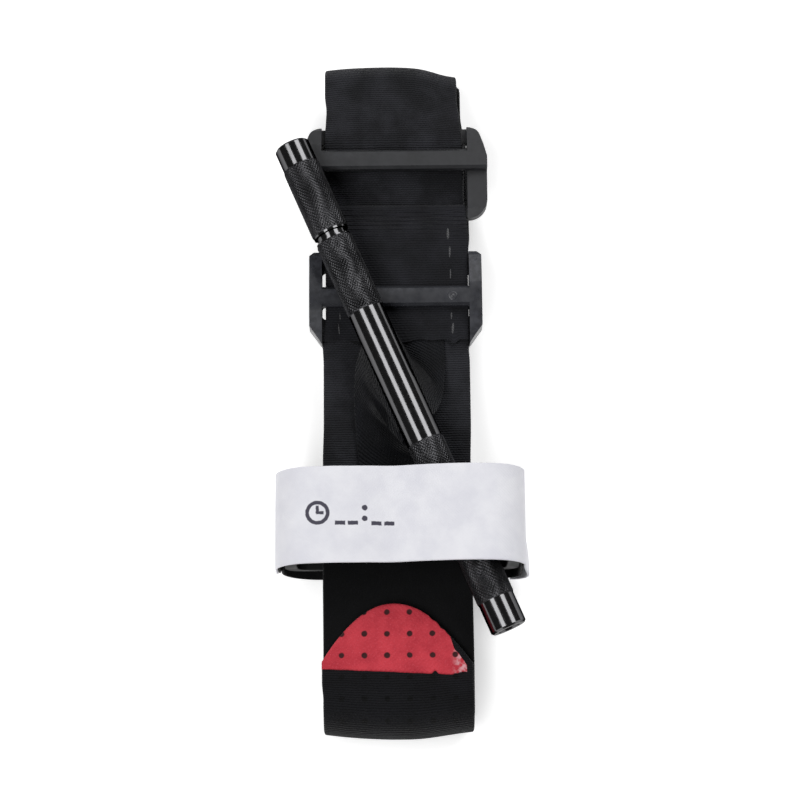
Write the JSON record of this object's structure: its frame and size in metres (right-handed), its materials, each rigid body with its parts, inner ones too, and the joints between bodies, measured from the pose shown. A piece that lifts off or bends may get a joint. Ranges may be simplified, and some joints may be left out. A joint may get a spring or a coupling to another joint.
{
  "type": "windlass tourniquet",
  "caption": "Folded windlass tourniquet: webbing band, threaded routing buckle, slotted base plate, turning metal rod in a hooked clip, time strap and tail flap that peels.",
  "frame": {"origin": "centre of the overall box at its lowest face, on the back of the folded band", "axes": "+Y along the band from the tail flap to the routing buckle, +X across the band, +Z from the back of the band up to the time strap"},
  "size_m": [0.0632, 0.1806, 0.0301],
  "materials": {
    "webbing_black": "ribbed nylon webbing",
    "pile_black": "loop pile",
    "ribbon_black": "woven ribbon",
    "hook_black": "hook tape",
    "thread_black": "twisted thread",
    "buckle_plastic": "satin moulded nylon",
    "plate_plastic": "moulded nylon with a light shine",
    "clip_plastic": "satin moulded nylon",
    "rod_black": "black anodised, knurled grips",
    "strap_white": "white write-on tape",
    "strap_black": "hook-and-loop backing",
    "tip_red": "red tape with pressed dots"
  },
  "bodies": {
    "band": {"band_webbing": "webbing_black", "band_loop_face": "pile_black", "sleeve_front": "webbing_black", "ribbon_upper": "ribbon_black", "ribbon_lower": "ribbon_black", "buckle_stitching": "thread_black", "sleeve_stitching": "thread_black", "routing_buckle": "buckle_plastic", "base_plate": "plate_plastic", "windlass_clip": "clip_plastic", "strap_anchor_backing": "strap_black", "strap_anchor_face": "strap_white"},
    "windlass": {"windlass_rod": "rod_black", "ribbon_core": "ribbon_black"},
    "time_strap": {"time_strap_face": "strap_white", "time_strap_backing": "strap_black"},
    "tail_flap": {"tail_flap_webbing": "webbing_black", "tail_flap_hook_tape": "hook_black", "tail_tip": "tip_red"}
  },
  "joints": [
    {"name": "windlass_turn", "type": "hinge", "parent": "band", "child": "windlass", "pos_m": [0, 0, 0.02095], "axis": [0, 0, 1], "range_deg": [-46, 0]},
    {"name": "time_strap_open", "type": "hinge", "parent": "band", "child": "time_strap", "pos_m": [0.02894, -0.0368, 0.02684], "axis": [0, 1, 0], "range_deg": [0, 120]},
    {"name": "tail_peel", "type": "hinge", "parent": "band", "child": "tail_flap", "pos_m": [0, -0.0827, 0.0143], "axis": [1, 0, 0], "range_deg": [0, 115]}
  ]
}
